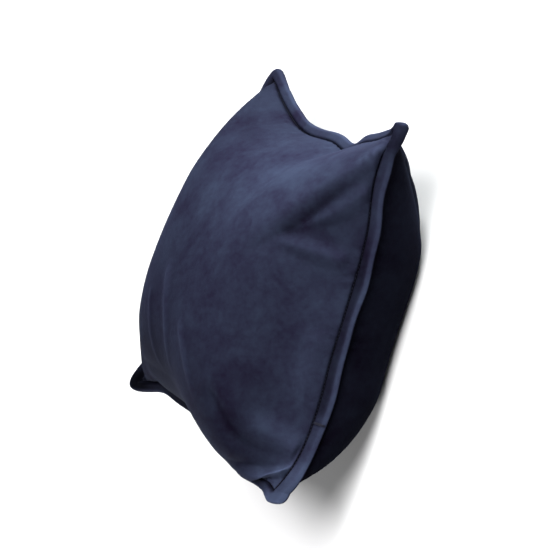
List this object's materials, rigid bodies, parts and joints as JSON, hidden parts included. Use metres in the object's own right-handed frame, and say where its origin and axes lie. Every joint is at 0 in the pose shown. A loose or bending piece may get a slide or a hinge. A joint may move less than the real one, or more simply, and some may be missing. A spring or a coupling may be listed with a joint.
{
  "type": "square cushion",
  "caption": "Square scatter cushion in plain navy velvet, plumply filled, with a topstitched flat flange, drawn-in sides and four short pointed ears.",
  "frame": {"origin": "middle of the box's bottom in plan, on the surface that the cushion's back rests on", "axes": "+X the face's right, +Y the face's top, +Z the way the front face looks, up as the cushion lies on its back"},
  "size_m": [0.3682, 0.3664, 0.1807],
  "materials": {
    "velvet": "matte navy velvet with a soft uneven nap"
  },
  "bodies": {
    "root": {"cushion": "velvet"}
  },
  "joints": []
}
